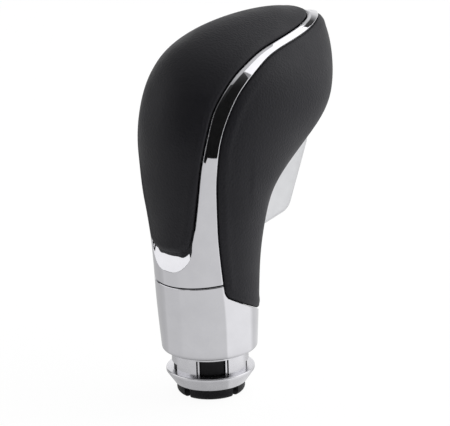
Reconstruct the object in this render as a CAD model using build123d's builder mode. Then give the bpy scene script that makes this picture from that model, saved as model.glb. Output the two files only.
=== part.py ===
from build123d import *
import os

# Gear shift knob for an automatic gearbox, in millimetres. +X points forward, to the side of the release
# button, +Z goes up along the lever, and the origin is the centre of the mouth of the lever socket. The knob
# is the same on both sides of the XZ plane.

# Outer form: a stack of ellipses, each spanned by a point of the rear line and one of the front line (x, z)
rear_line = [
    (-15.6, 15), (-17, 33.5), (-18, 47.7), (-18.6, 63.4), (-20.7, 79.5),
    (-20.1, 94.9), (-10, 112), (13.4, 120.4), (36.9, 121.2), (49, 117.8),
]
front_line = [
    (15.6, 15), (16.3, 29.5), (17.6, 43.5), (19.1, 57.5), (26.6, 70.4),
    (42.7, 80.9), (52.6, 91), (56.2, 104.4), (55.8, 113.3), (54.4, 117.1),
]
half_widths = [15.6, 16.6, 16.8, 19.3, 21.1, 22.9, 22.1, 14.6, 6.7, 1.9]
ellipses_per_station = 3
tip_land = 1.0

# Edge of the rear pad in side view (x, z), from above the tip to behind the scoop
pad_edge = [
    (50, 124), (46.5, 120.4), (42.4, 118.1), (29.9, 116), (13.6, 113.3), (3.8, 109.9), (-2.2, 106.4),
    (-7.1, 101.7), (-10.6, 96.6), (-12.9, 90.5), (-14.8, 82.1), (-15.4, 73), (-15.4, 64), (-15.5, 57.5),
    (-15.7, 55), (-16.1, 53.4), (-16.8, 52.4), (-18.2, 51.6), (-26, 51),
]
# Edge of the front grip in side view: down along the frame to the seam, then under the chin
grip_edge = [
    (60, 116.9), (49.7, 116.5), (36.8, 114.6), (19.2, 112.1), (7.8, 108.4), (-1.4, 102), (-6.9, 94.3),
    (-10, 86.1), (-11.1, 77.5), (-11.1, 70), (-10.2, 59), (-9.1, 51), (-8.1, 44), (-7.7, 40),
]
chin_edge = [(-7.5, 37.9), (-6.6, 36.1), (-5, 35), (-0.7, 32.8), (5.4, 30), (16, 25.2), (26, 20.6)]

# Walls and gaps of the shells
leather = 1.3
carrier_wall = 2.0
chrome_inset = 0.1
sleeve_wall = 2.3
trim_gap = 0.3
seam_gap = 0.5
seat_gap = 0.2
reach = 45.0

# Scoop below the rear pad: a round hollow whose rim reaches from the pad down the frame
scoop_rim = 8.6
scoop_depth = 2.4
scoop_height = 53.0

# Lever socket
lever_bore_radius = 7.0
lever_bore_depth = 33.0
rod_bore_radius = 5.0
rod_bore_top = 41.0
socket_radius = 11.1
socket_height = 50.0
socket_foot_round = 1.5
socket_flange_radius = 12.2
socket_flange_low = 43.0
socket_flange_high = 45.5
socket_fit = 0.05
spring_pocket_radius = 5.0
spring_seat = 45.0
finger_slot_width = 2.4
finger_slot_height = 7.5
finger_count = 4
ring_groove_height = 5.5

# Boot collar and lower sleeve
collar_fit = 0.1
neck_radius = 12.5
collar_low = 3.6
flange_foot_radius = 11.7
flange_rim_radius = 14.4
flange_rim_low = 7.5
flange_top = 8.5
flange_edge_round = 0.3
collar_high = 21.0
window_low = 8.8
window_high = 13.7
window_width = 10.4
window_count = 2
side_slot_high = 10.9
side_slot_width = 11.4
tab_clearance = 0.4
tab_recess = 0.5
sleeve_lip = 2.0
sleeve_edge_round = 1.0
sleeve_web = 2.5

# Spring ring round the socket fingers
ring_wire = 1.4
ring_angle = 336.0

# Release button: side view from the rear edge round the chin to the top
button_half_width = 8.5
button_wall = 1.8
button_rear = 12.0
button_low = 52.8
button_high = 79.6
button_chin_x = 19.0
button_front_low = (30.8, 55.4)
button_front_top_x = 41.6
button_chin_round = 4.0
button_edge_round = 2.0
button_gap = 0.4
button_travel = 5.0

# Slider and its channel
slider_half_width = 6.0
slider_low = 64.0
slider_high = 77.0
slider_rear = -4.0
slider_bridge = 8.6
slider_neck = 14.0
slider_head_rear = 12.6
slider_head_front = 33.0
slider_fit = 0.15
fork_half_gap = 3.8

# Plunger, cross pin and return spring
plunger_radius = 3.0
plunger_fit = 0.06
plunger_low = 39.0
plunger_high = 88.0
plunger_chamfer = 0.6
plunger_collar_radius = 4.6
plunger_collar_height = 1.5
spring_height = 16.5
spring_mean_radius = 4.2
spring_wire_radius = 0.4
spring_end_gap = 0.05
spring_turns = 6
pin_radius = 1.5
pin_half_length = 5.8
pin_height = 73.5
pin_chamfer = 0.3
pin_fit = 0.25
press_fit = 0.02

# Core halves
core_plug_low = 41.5
core_plug_high = 51.8
core_rear = -11.3
core_front = 6.0
core_half_width = 9.5
core_high = 92.0
core_wall = 2.0
core_rib_low = 80.5
core_rib = 2.5
spring_chamber_gap = 0.7

# Posts of the rear pad carrier
post_radius = 2.2
post_fit = 0.1
post_y = 4.0
post_heights = (68.0, 86.0)

# Screws and the lugs that they hold
thread_radius = 1.25
thread_fit = 0.03
screw_hole_gap = 0.15
head_radius = 2.2
head_height = 1.4
head_recess_width = 0.6
head_recess_depth = 0.8
core_screw_length = 16.0
core_screw_places = ((-7.2, 60.6), (-7.6, 88.4))
frame_tab_half_width = 6.5
frame_tab_low = 50.0
frame_tab_high = 57.5
frame_screw_x = -13.85
frame_screw_y = 3.4
frame_screw_z = 54.7
frame_screw_length = 7.0
frame_window_half_width = 7.0
frame_window_high = 80.0
grip_lug_y = 9.5
grip_lug_z = 97.0
grip_lug_front = 17.0
grip_lug = 3.0
grip_lug_half_height = 4.0
grip_lug_half_width = 3.0
grip_tab = 4.0
grip_arm_low = 87.0
grip_screw_length = 6.5

# Levels and radii that follow from the sizes above
shell = leather + carrier_wall
core_inset = shell + seat_gap
seam_height = grip_edge[-1][1]
sleeve_low = rear_line[0][1]
spring_top = spring_seat + spring_height
mid_gap = trim_gap / 2
collar_bore = socket_radius + collar_fit
pilot_radius = thread_radius + thread_fit
passage_radius = thread_radius + screw_hole_gap
frame_screw_places = [(frame_screw_x, y, frame_screw_z) for y in (frame_screw_y, -frame_screw_y)]
grip_lug_rear = grip_lug_front - grip_lug
button_opening = button_half_width + button_gap
button_hollow = button_half_width - button_wall
scoop_radius = (scoop_rim**2 + scoop_depth**2) / (2 * scoop_depth)
ring_groove_radius = socket_radius - ring_wire


def natural_spline(values):
    """The smooth curve through values at whole stations, with no bend at its ends."""
    count = len(values)
    bends = [0.0] * count
    ratios = [0.0] * count
    for k in range(1, count - 1):
        pivot = 4 - ratios[k - 1]
        ratios[k] = 1 / pivot
        bends[k] = (6 * (values[k + 1] - 2 * values[k] + values[k - 1]) - bends[k - 1]) / pivot
    for k in range(count - 2, 0, -1):
        bends[k] -= ratios[k] * bends[k + 1]

    def at(station):
        k = min(int(station), count - 2)
        b = station - k
        a = 1 - b
        bend = (a**3 - a) * bends[k] + (b**3 - b) * bends[k + 1]
        return a * values[k] + b * values[k + 1] + bend / 6

    return at


rear_x = natural_spline([x for x, z in rear_line])
rear_z = natural_spline([z for x, z in rear_line])
front_x = natural_spline([x for x, z in front_line])
front_z = natural_spline([z for x, z in front_line])
width_at = natural_spline(half_widths)


def last_station(inset):
    """The highest station at which the form is still wide enough for the inset."""
    top = len(half_widths) - 1
    station = top
    while width_at(station) < inset + tip_land:
        station -= 0.01
    return station


def form(inset):
    """The outer form, with every ellipse drawn in by the inset."""
    count = ellipses_per_station * (len(half_widths) - 1)
    end = last_station(inset)
    with BuildPart() as body:
        for k in range(count + 1):
            station = end * k / count
            rear = Vector(rear_x(station), 0, rear_z(station))
            front = Vector(front_x(station), 0, front_z(station))
            chord = front - rear
            normal = chord.cross(Vector(0, 1, 0)).normalized()
            with BuildSketch(Plane(origin=(rear + front) / 2, x_dir=chord, z_dir=normal)):
                Ellipse(chord.length / 2 - inset, width_at(station) - inset)
        loft()
    return body.part


def between(solid, low, high):
    """The slice of a solid between two heights."""
    with BuildPart() as piece:
        add(solid)
        with Locations((0, 0, low)):
            Box(
                4 * reach, 4 * reach, high - low,
                align=(Align.CENTER, Align.CENTER, Align.MIN), mode=Mode.INTERSECT,
            )
    return piece.part


def inside(solid, side):
    """The portion of a solid that a side view covers."""
    with BuildPart() as piece:
        add(solid)
        extrude(side, amount=reach, both=True, mode=Mode.INTERSECT)
    return piece.part


def shifted(points, distance):
    """The points moved to the left of their travel, square to the line through their neighbours."""
    moved = []
    for index, (x, z) in enumerate(points):
        before = points[max(index - 1, 0)]
        after = points[min(index + 1, len(points) - 1)]
        along = Vector(after[0] - before[0], after[1] - before[1]).normalized()
        moved.append((x - along.Y * distance, z + along.X * distance))
    return moved


def grip_curves(distance):
    """The grip's edge along the frame and under the chin, both moved by the same distance."""
    path = shifted(grip_edge + chin_edge, distance)
    count = len(grip_edge)
    return path[:count], path[count - 1:]


def pad_side(distance):
    """Side view of everything behind the rear pad's edge, drawn back by the distance."""
    edge = shifted(pad_edge, -distance)
    far = 3 * reach
    with BuildSketch(Plane.XZ) as sketch:
        with BuildLine():
            line = Spline(*edge)
            Polyline(line @ 1, (-reach, edge[-1][1]), (-reach, far), (edge[0][0], far), line @ 0)
        make_face()
    return sketch.sketch


def grip_side(distance):
    """Side view of everything in front of the grip's edge and chin, drawn back by the distance."""
    frame_part, chin_part = grip_curves(distance)
    far = 2 * reach
    with BuildSketch(Plane.XZ) as sketch:
        with BuildLine():
            upper = Spline(*frame_part)
            chin = Spline(*chin_part)
            Polyline(chin @ 1, (far, chin_part[-1][1]), (far, frame_part[0][1]), upper @ 0)
        make_face()
    return sketch.sketch


def frame_side():
    """Side view of the frame: between the pad's edge and the grip's edge, above the seam."""
    inner = shifted(pad_edge, mid_gap)
    outer = grip_curves(-mid_gap)[0]
    outer[-1] = (outer[-1][0], seam_height + seam_gap / 2)
    with BuildSketch(Plane.XZ) as sketch:
        with BuildLine():
            upper = Spline(*inner)
            lower = Spline(*outer)
            Polyline(upper @ 1, (inner[-1][0], outer[-1][1]), lower @ 1)
            Polyline(lower @ 0, (outer[0][0], inner[0][1]), upper @ 0)
        make_face()
    return sketch.sketch


def sleeve_side():
    """Side view of the sleeve: below the seam and below the grip's chin."""
    chin_part = grip_curves(-mid_gap)[1]
    chin_part[0] = (chin_part[0][0], seam_height - seam_gap / 2)
    with BuildSketch(Plane.XZ) as sketch:
        with BuildLine():
            chin = Spline(*chin_part)
            Polyline(chin @ 1, (chin_part[-1][0], 0), (-reach, 0), (-reach, chin_part[0][1]), chin @ 0)
        make_face()
    return sketch.sketch


def button_side(wall):
    """Side view of the button, drawn in by a wall."""
    with BuildSketch(Plane.XZ) as sketch:
        with BuildLine():
            Polyline(
                (button_rear, button_low),
                (button_chin_x, button_low),
                button_front_low,
                (button_front_top_x, button_high),
                (button_rear, button_high),
                close=True,
            )
        make_face()
        chin = sketch.vertices().sort_by_distance((button_front_low[0], 0, button_front_low[1]))[0]
        fillet(chin, button_chin_round)
        if wall:
            offset(amount=-wall, kind=Kind.INTERSECTION, mode=Mode.REPLACE)
    return sketch.sketch


def screw(length):
    """A pan head screw that points along +Z, its head below the origin, with a cross recess."""
    with BuildPart() as body:
        Cylinder(thread_radius, length, align=(Align.CENTER, Align.CENTER, Align.MIN))
        Cylinder(head_radius, head_height, align=(Align.CENTER, Align.CENTER, Align.MAX))
        with Locations((0, 0, -head_height)):
            for turn in (0, 90):
                Box(
                    head_recess_width, 2 * thread_radius, 2 * head_recess_depth,
                    rotation=(0, 0, turn), mode=Mode.SUBTRACT,
                )
    return body.part


def screw_at(place, direction, length):
    """A screw with the underside of its head at a place and its thread along the direction."""
    with BuildPart() as placed:
        with Locations(Plane(origin=place, z_dir=direction)):
            add(screw(length))
    return placed


outer_form = form(0)
leather_back = form(leather)
carrier_middle = form(leather + carrier_wall / 2)
hollow = form(shell)
chrome_form = form(chrome_inset)
sleeve_hollow = form(chrome_inset + sleeve_wall)
core_form = form(core_inset)
sides = (1, -1)

# Rear pad: a leather skin on a hard carrier, which plugs into the core with four posts
with BuildPart() as rear_pad_leather:
    add(inside(outer_form, pad_side(mid_gap)))
    add(leather_back, mode=Mode.SUBTRACT)

with BuildPart() as posts:
    for height in post_heights:
        for side in sides:
            with Locations(Plane(origin=(core_rear + core_wall, side * post_y, height), z_dir=(-1, 0, 0))):
                Cylinder(post_radius, reach, align=(Align.CENTER, Align.CENTER, Align.MIN))
    add(carrier_middle, mode=Mode.INTERSECT)

with BuildPart() as rear_pad_carrier:
    add(inside(leather_back, pad_side(mid_gap)))
    add(hollow, mode=Mode.SUBTRACT)
    add(posts.part)

# Front grip: the same build, with the opening for the button and two tabs for its screws
with BuildPart() as button_passage:
    with Locations((0, 0, button_low - button_gap)):
        Box(
            2 * reach, 2 * button_opening, button_high - button_low + 2 * button_gap,
            align=(Align.MIN, Align.CENTER, Align.MIN),
        )

with BuildPart() as front_grip_leather:
    add(inside(outer_form, grip_side(mid_gap)))
    add(leather_back, mode=Mode.SUBTRACT)
    add(button_passage.part, mode=Mode.SUBTRACT)

with BuildPart() as grip_tabs:
    for side in sides:
        with Locations((grip_lug_front, side * (grip_lug_y - grip_lug_half_width), grip_lug_z)):
            Box(
                grip_tab, reach, 2 * grip_lug_half_height,
                align=(Align.MIN, Align.MIN if side > 0 else Align.MAX, Align.CENTER),
            )
    add(carrier_middle, mode=Mode.INTERSECT)

with BuildPart() as front_grip_carrier:
    add(inside(leather_back, grip_side(mid_gap)))
    add(hollow, mode=Mode.SUBTRACT)
    add(button_passage.part, mode=Mode.SUBTRACT)
    add(grip_tabs.part)
    for side in sides:
        with Locations(Plane(origin=(grip_lug_front, side * grip_lug_y, grip_lug_z), z_dir=(1, 0, 0))):
            Cylinder(pilot_radius, 2 * grip_tab, mode=Mode.SUBTRACT)

# Chrome frame: a shell between the two leathers, with the scoop, and a tab under the rear pad for its screws
with BuildPart() as frame_block:
    with Locations((core_rear, 0, frame_tab_low)):
        Box(
            reach, 2 * frame_tab_half_width, frame_tab_high - frame_tab_low,
            align=(Align.MAX, Align.CENTER, Align.MIN),
        )
    add(chrome_form, mode=Mode.INTERSECT)

scoop_x = rear_line[2][0] + chrome_inset + scoop_depth - scoop_radius
with BuildPart() as chrome_frame:
    add(inside(chrome_form, frame_side()))
    add(hollow, mode=Mode.SUBTRACT)
    with Locations((core_rear, 0, frame_tab_high)):
        Box(
            reach, 2 * frame_window_half_width, frame_window_high - frame_tab_high,
            align=(Align.MAX, Align.CENTER, Align.MIN), mode=Mode.SUBTRACT,
        )
    add(inside(frame_block.part, frame_side()))
    with Locations((scoop_x, 0, scoop_height)):
        Sphere(scoop_radius, mode=Mode.SUBTRACT)
    for place in frame_screw_places:
        with Locations(Plane(origin=place, z_dir=(-1, 0, 0))):
            Cylinder(passage_radius, reach / 2, mode=Mode.SUBTRACT)
            Cylinder(
                head_radius + screw_hole_gap, reach,
                align=(Align.CENTER, Align.CENTER, Align.MIN), mode=Mode.SUBTRACT,
            )

# Lower sleeve: a bright tube that stands on the collar by an inner web and closes on the neck with a lip
with BuildPart() as sleeve_ring:
    add(between(carrier_middle, collar_high, collar_high + sleeve_web))
    Cylinder(socket_radius + socket_fit, 4 * reach, mode=Mode.SUBTRACT)

with BuildPart() as lower_sleeve:
    add(inside(chrome_form, sleeve_side()))
    fillet(lower_sleeve.edges().group_by(Axis.Z)[0], sleeve_edge_round)
    add(between(sleeve_hollow, sleeve_low + sleeve_lip, 2 * reach), mode=Mode.SUBTRACT)
    Cylinder(neck_radius + collar_fit, 4 * reach, mode=Mode.SUBTRACT)
    add(sleeve_ring.part)

# Boot collar: neck with two windows and two low side slots above a barbed flange
with BuildPart() as boot_collar:
    with BuildSketch(Plane.XZ):
        with BuildLine():
            Polyline(
                (collar_bore, collar_low),
                (flange_foot_radius, collar_low),
                (flange_rim_radius, flange_rim_low),
                (flange_rim_radius, flange_top),
                (neck_radius, flange_top),
                (neck_radius, collar_high),
                (collar_bore, collar_high),
                close=True,
            )
        make_face()
    revolve(axis=Axis.Z)
    circles = boot_collar.edges().filter_by(GeomType.CIRCLE)
    fillet(circles.group_by(SortBy.RADIUS)[-1], flange_edge_round)
    with Locations((0, 0, (window_low + window_high) / 2)):
        with PolarLocations(neck_radius, window_count, start_angle=45):
            Box(neck_radius / 2, window_width, window_high - window_low, mode=Mode.SUBTRACT)
    with Locations((0, 0, (window_low + side_slot_high) / 2)):
        with PolarLocations(neck_radius, window_count, start_angle=135):
            Box(neck_radius / 2, side_slot_width, side_slot_high - window_low, mode=Mode.SUBTRACT)

# Lever socket: bore for the lever, slotted fingers at the foot, tabs in the collar's windows
with BuildPart() as window_tabs:
    with Locations((0, 0, window_low + tab_clearance)):
        Cylinder(
            neck_radius - tab_recess, window_high - window_low - 2 * tab_clearance,
            align=(Align.CENTER, Align.CENTER, Align.MIN),
        )
    with Locations((0, 0, (window_low + window_high) / 2)):
        with PolarLocations(neck_radius, window_count, start_angle=45):
            Box(
                neck_radius / 2, window_width - 2 * tab_clearance, window_high - window_low,
                mode=Mode.INTERSECT,
            )

with BuildPart() as lever_socket:
    with BuildSketch(Plane.XZ):
        with BuildLine():
            Polyline(
                (lever_bore_radius, 0),
                (socket_radius, 0),
                (socket_radius, socket_flange_low),
                (socket_flange_radius, socket_flange_low),
                (socket_flange_radius, socket_flange_high),
                (socket_radius, socket_flange_high),
                (socket_radius, socket_height),
                (spring_pocket_radius, socket_height),
                (spring_pocket_radius, spring_seat),
                (plunger_radius + plunger_fit, spring_seat),
                (plunger_radius + plunger_fit, rod_bore_top),
                (rod_bore_radius, rod_bore_top),
                (rod_bore_radius, lever_bore_depth),
                (lever_bore_radius, lever_bore_depth),
                close=True,
            )
        make_face()
    revolve(axis=Axis.Z)
    fillet(lever_socket.edges().group_by(Axis.Z)[0].sort_by(SortBy.RADIUS)[-1], socket_foot_round)
    with BuildSketch(Plane.XZ):
        with Locations((ring_groove_radius - socket_fit, ring_groove_height)):
            Rectangle(ring_wire * 2, ring_wire + 2 * socket_fit, align=(Align.MIN, Align.CENTER))
    revolve(axis=Axis.Z, mode=Mode.SUBTRACT)
    with PolarLocations(socket_radius, finger_count):
        Box(socket_radius, finger_slot_width, 2 * finger_slot_height, mode=Mode.SUBTRACT)
    add(window_tabs.part)
    Cylinder(lever_bore_radius, 2 * lever_bore_depth, mode=Mode.SUBTRACT)

# Spring ring that closes the socket fingers on the lever
with BuildPart() as collet_ring:
    with BuildSketch(Plane.XZ):
        with Locations((ring_groove_radius + ring_wire / 2, ring_groove_height)):
            Circle(ring_wire / 2)
    revolve(axis=Axis.Z, revolution_arc=ring_angle)

# Core: plug round the socket, block with the slider's channel, rib under the head, arms for the grip screws
with BuildPart() as head_rib:
    add(between(core_form, core_rib_low, core_rib_low + core_rib))
    with Locations((core_front, 0, core_rib_low)):
        Box(
            2 * reach, 2 * reach, 2 * reach,
            align=(Align.MAX, Align.CENTER, Align.CENTER), mode=Mode.INTERSECT,
        )

with BuildPart() as core:
    add(between(core_form, core_plug_low, core_plug_high))
    add(head_rib.part)
    with Locations((core_rear, 0, core_plug_high - core_wall)):
        Box(
            core_front - core_rear, 2 * core_half_width, core_high - core_plug_high + core_wall,
            align=(Align.MIN, Align.CENTER, Align.MIN),
        )
    with Locations((grip_lug_front, 0, grip_arm_low)):
        Box(
            grip_lug_front, 2 * (grip_lug_y + grip_lug_half_width), core_high - grip_arm_low,
            align=(Align.MAX, Align.CENTER, Align.MIN),
        )
    for side in sides:
        with Locations((grip_lug_front, side * grip_lug_y, grip_arm_low)):
            Box(
                grip_lug, 2 * grip_lug_half_width, grip_lug_z + grip_lug_half_height - grip_arm_low,
                align=(Align.MAX, Align.CENTER, Align.MIN),
            )
    add(core_form, mode=Mode.INTERSECT)
    with Locations((0, 0, core_plug_low)):
        Cylinder(
            socket_radius + socket_fit, socket_height + socket_fit - core_plug_low,
            align=(Align.CENTER, Align.CENTER, Align.MIN), mode=Mode.SUBTRACT,
        )
    with Locations((0, 0, socket_flange_low - socket_fit)):
        Cylinder(
            socket_flange_radius + socket_fit, socket_flange_high - socket_flange_low + 2 * socket_fit,
            align=(Align.CENTER, Align.CENTER, Align.MIN), mode=Mode.SUBTRACT,
        )
    with Locations((0, 0, socket_height)):
        Cylinder(
            plunger_collar_radius + spring_chamber_gap, slider_low - socket_height,
            align=(Align.CENTER, Align.CENTER, Align.MIN), mode=Mode.SUBTRACT,
        )
    with Locations((core_rear + core_wall, 0, slider_low - slider_fit)):
        Box(
            reach, 2 * (slider_half_width + slider_fit), slider_high - slider_low + 2 * slider_fit,
            align=(Align.MIN, Align.CENTER, Align.MIN), mode=Mode.SUBTRACT,
        )
    with Locations((0, 0, slider_high)):
        Cylinder(
            plunger_radius + plunger_fit, core_high,
            align=(Align.CENTER, Align.CENTER, Align.MIN), mode=Mode.SUBTRACT,
        )
    with Locations((core_rear, 0, frame_tab_low - seat_gap)):
        Box(
            reach, 2 * (frame_tab_half_width + seat_gap), core_plug_high,
            align=(Align.MAX, Align.CENTER, Align.MIN), mode=Mode.SUBTRACT,
        )
    for place in frame_screw_places:
        with Locations(Plane(origin=place, z_dir=(1, 0, 0))):
            Cylinder(
                pilot_radius, frame_screw_length + screw_hole_gap,
                align=(Align.CENTER, Align.CENTER, Align.MIN), mode=Mode.SUBTRACT,
            )
    for side in sides:
        for height in post_heights:
            with Locations(Plane(origin=(core_rear, side * post_y, height), z_dir=(1, 0, 0))):
                Cylinder(post_radius + post_fit, 2 * core_wall, mode=Mode.SUBTRACT)
        with Locations(Plane(origin=(grip_lug_rear, side * grip_lug_y, grip_lug_z), z_dir=(1, 0, 0))):
            Cylinder(passage_radius, 3 * grip_lug, mode=Mode.SUBTRACT)
    for x, z in core_screw_places:
        with Locations(Plane(origin=(x, -core_half_width, z), z_dir=(0, 1, 0))):
            Cylinder(
                passage_radius, core_half_width,
                align=(Align.CENTER, Align.CENTER, Align.MIN), mode=Mode.SUBTRACT,
            )
            Cylinder(
                pilot_radius, core_screw_length + 2 * screw_hole_gap,
                align=(Align.CENTER, Align.CENTER, Align.MIN), mode=Mode.SUBTRACT,
            )

with BuildPart() as core_left:
    add(core.part)
    split(bisect_by=Plane.XZ, keep=Keep.BOTTOM)

with BuildPart() as core_right:
    add(core.part)
    split(bisect_by=Plane.XZ, keep=Keep.TOP)

# Release button: a hollow cap, open at the rear
with BuildPart() as button_cap:
    extrude(button_side(0), amount=button_half_width, both=True)
    outline = button_cap.faces().filter_by(Axis.Y).edges()
    fillet(outline.filter_by(lambda e: e.center().X > button_rear + press_fit), button_edge_round)
    extrude(button_side(button_wall), amount=button_hollow, both=True, mode=Mode.SUBTRACT)
    with Locations((button_rear, 0, button_low + button_wall)):
        Box(
            4 * button_wall, 2 * button_hollow, button_high - button_low - 2 * button_wall,
            align=(Align.CENTER, Align.CENTER, Align.MIN), mode=Mode.SUBTRACT,
        )

# Slider: head inside the cap, and a fork whose inclined slots drive the pin down as the button goes in
slider_height = slider_high - slider_low
with BuildPart() as slider_head:
    extrude(button_side(button_wall + socket_fit), amount=button_hollow - socket_fit, both=True)
    with Locations((slider_head_rear, 0, slider_low)):
        Box(
            slider_head_front - slider_head_rear, 2 * button_half_width, slider_height,
            align=(Align.MIN, Align.CENTER, Align.MIN), mode=Mode.INTERSECT,
        )

with BuildPart() as button_slider:
    with Locations((slider_rear, 0, slider_low)):
        Box(
            slider_neck - slider_rear, 2 * slider_half_width, slider_height,
            align=(Align.MIN, Align.CENTER, Align.MIN),
        )
    with Locations((slider_bridge, 0, slider_low)):
        Box(
            reach, 2 * fork_half_gap, 2 * slider_height,
            align=(Align.MAX, Align.CENTER, Align.CENTER), mode=Mode.SUBTRACT,
        )
    add(slider_head.part)
    with BuildSketch(Plane.XZ):
        with Locations((button_travel / 2, pin_height - button_travel / 2)):
            SlotCenterToCenter(button_travel * 2**0.5, 2 * (pin_radius + pin_fit), rotation=-45)
    extrude(amount=slider_half_width, both=True, mode=Mode.SUBTRACT)

# Plunger on the lever axis, with the collar that the spring pushes up
with BuildPart() as release_plunger:
    with Locations((0, 0, plunger_low)):
        Cylinder(plunger_radius, plunger_high - plunger_low, align=(Align.CENTER, Align.CENTER, Align.MIN))
    chamfer(release_plunger.edges().filter_by(GeomType.CIRCLE), plunger_chamfer)
    with Locations((0, 0, spring_top)):
        Cylinder(plunger_collar_radius, plunger_collar_height, align=(Align.CENTER, Align.CENTER, Align.MIN))
    with Locations(Plane(origin=(0, 0, pin_height), z_dir=(0, 1, 0))):
        Cylinder(pin_radius + press_fit, 4 * plunger_radius, mode=Mode.SUBTRACT)

with BuildPart() as plunger_pin:
    with Locations(Plane(origin=(0, 0, pin_height), z_dir=(0, 1, 0))):
        Cylinder(pin_radius, 2 * pin_half_length)
    chamfer(plunger_pin.edges().filter_by(GeomType.CIRCLE), pin_chamfer)

# Return spring round the plunger, between the socket's pocket and the plunger's collar
coil_height = spring_height - 2 * (spring_wire_radius + spring_end_gap)
coil_low = spring_seat + spring_wire_radius + spring_end_gap
with BuildPart() as return_spring:
    with BuildLine(Plane.XY.offset(coil_low)):
        coil = Helix(pitch=coil_height / spring_turns, height=coil_height, radius=spring_mean_radius)
    with BuildSketch(Plane(origin=coil @ 0, z_dir=coil % 0)):
        Circle(spring_wire_radius)
    sweep()

# Screws of the core, of the frame and of the front grip
core_screws = [screw_at((x, -core_half_width, z), (0, 1, 0), core_screw_length) for x, z in core_screw_places]
frame_screws = [screw_at(place, (1, 0, 0), frame_screw_length) for place in frame_screw_places]
grip_screws = [
    screw_at((grip_lug_rear, side * grip_lug_y, grip_lug_z), (1, 0, 0), grip_screw_length) for side in sides
]

pieces = {
    "rear_pad_leather": rear_pad_leather,
    "rear_pad_carrier": rear_pad_carrier,
    "front_grip_leather": front_grip_leather,
    "front_grip_carrier": front_grip_carrier,
    "chrome_frame": chrome_frame,
    "lower_sleeve": lower_sleeve,
    "boot_collar": boot_collar,
    "lever_socket": lever_socket,
    "collet_ring": collet_ring,
    "core_left": core_left,
    "core_right": core_right,
    "button_cap": button_cap,
    "button_slider": button_slider,
    "release_plunger": release_plunger,
    "plunger_pin": plunger_pin,
    "return_spring": return_spring,
    "core_screw_low": core_screws[0],
    "core_screw_high": core_screws[1],
    "frame_screw_left": frame_screws[0],
    "frame_screw_right": frame_screws[1],
    "grip_screw_left": grip_screws[0],
    "grip_screw_right": grip_screws[1],
}
os.makedirs("parts", exist_ok=True)
for name, piece in pieces.items():
    piece.part.label = name
    export_step(piece.part, f"parts/{name}.step")
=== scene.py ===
"""Gear shift knob: leather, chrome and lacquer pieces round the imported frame, with studio and camera."""
import bmesh
import bpy
import math
import numpy as np
from mathutils import Matrix, Vector


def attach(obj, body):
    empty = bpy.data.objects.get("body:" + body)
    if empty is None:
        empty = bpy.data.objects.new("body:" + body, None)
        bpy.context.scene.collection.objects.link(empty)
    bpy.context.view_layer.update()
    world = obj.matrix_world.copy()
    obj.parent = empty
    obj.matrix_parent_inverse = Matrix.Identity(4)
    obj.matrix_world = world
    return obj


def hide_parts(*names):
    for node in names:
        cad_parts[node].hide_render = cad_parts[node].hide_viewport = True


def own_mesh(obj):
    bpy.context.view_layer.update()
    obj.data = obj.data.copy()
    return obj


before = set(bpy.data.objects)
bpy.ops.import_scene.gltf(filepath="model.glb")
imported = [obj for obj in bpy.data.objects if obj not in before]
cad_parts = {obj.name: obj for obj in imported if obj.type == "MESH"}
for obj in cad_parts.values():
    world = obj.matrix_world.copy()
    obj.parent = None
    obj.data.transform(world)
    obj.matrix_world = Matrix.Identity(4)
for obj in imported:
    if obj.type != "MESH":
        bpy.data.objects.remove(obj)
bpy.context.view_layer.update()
scene = bpy.context.scene

# Lengths of the knob are in millimetres, those of the materials and the studio in metres
MM = 0.001

# Outer form: ellipses spanned by a rear and a front point (x, z) and a half width
REAR_LINE = np.array([
    (-15.6, 15), (-17, 33.5), (-18, 47.7), (-18.6, 63.4), (-20.7, 79.5),
    (-20.1, 94.9), (-10, 112), (13.4, 120.4), (36.9, 121.2), (49, 117.8),
], float)
FRONT_LINE = np.array([
    (15.6, 15), (16.3, 29.5), (17.6, 43.5), (19.1, 57.5), (26.6, 70.4),
    (42.7, 80.9), (52.6, 91), (56.2, 104.4), (55.8, 113.3), (54.4, 117.1),
], float)
HALF_WIDTHS = np.array([15.6, 16.6, 16.8, 19.3, 21.1, 22.9, 22.1, 14.6, 6.7, 1.9])
FOOT_HEIGHT = REAR_LINE[0, 1]
LAST = len(HALF_WIDTHS) - 1
NOSE_HEIGHT = 0.4
NOSE_END = LAST + 0.98

# Edges of the leather in side view (x, z)
PAD_EDGE = np.array([
    (50, 124), (46.5, 120.4), (42.4, 118.1), (29.9, 116), (13.6, 113.3), (3.8, 109.9), (-2.2, 106.4),
    (-7.1, 101.7), (-10.6, 96.6), (-12.9, 90.5), (-14.8, 82.1), (-15.4, 73), (-15.4, 64), (-15.5, 57.5),
    (-15.7, 54.6), (-16.1, 52.8), (-16.8, 51.7), (-18.2, 50.8), (-26, 50.2),
], float)
GRIP_EDGE = np.array([
    (60, 116.9), (49.7, 116.5), (36.8, 114.6), (19.2, 112.1), (7.8, 108.4), (-1.4, 102), (-6.9, 94.3),
    (-10, 86.1), (-11.1, 77.5), (-11.1, 70), (-10.2, 59), (-9.1, 51), (-8.1, 44), (-7.7, 40),
], float)
CHIN_EDGE = np.array([
    (-7.7, 40), (-7.5, 37.9), (-6.6, 36.1), (-5, 35), (-0.7, 32.8), (5.4, 30), (16, 25.2), (26, 20.6),
], float)
TRIM_GAP = 0.3

# Seam between the chrome frame and the sleeve: a plane that rises a little towards the front
SEAM_HEIGHT = 41.1
SEAM_SLOPE = 0.1
SEAM_NORMAL = (-SEAM_SLOPE, 0, 1)
SEAM_GAP = 0.3

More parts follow.
